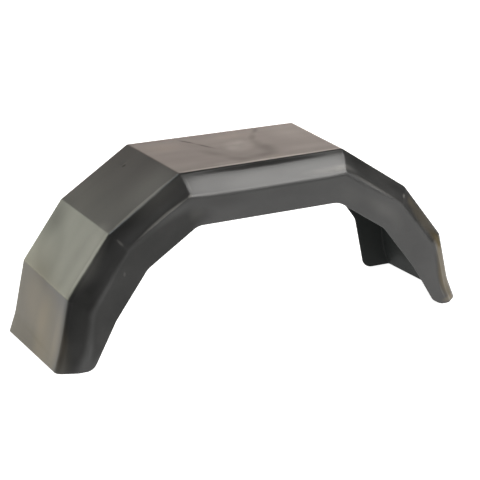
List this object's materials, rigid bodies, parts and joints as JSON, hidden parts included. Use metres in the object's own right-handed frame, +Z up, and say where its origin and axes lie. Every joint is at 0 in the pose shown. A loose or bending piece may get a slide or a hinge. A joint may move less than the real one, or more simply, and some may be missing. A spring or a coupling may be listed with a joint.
{
  "type": "trailer mudguard",
  "caption": "Faceted one-piece plastic mudguard that arches over a small trailer wheel, with a sloping shoulder, a deep outer skirt and a shallow wall on the trailer's side.",
  "frame": {"origin": "on the floor, at the middle of the bounding box, with the mudguard standing on its two ends", "axes": "+X along the trailer, from one end of the arch to the other; +Y towards the trailer's side; +Z up; the deep skirt faces -Y"},
  "size_m": [0.6492, 0.1914, 0.256],
  "materials": {
    "black_plastic": "satin moulded black plastic"
  },
  "bodies": {
    "root": {"mudguard": "black_plastic"}
  },
  "joints": []
}
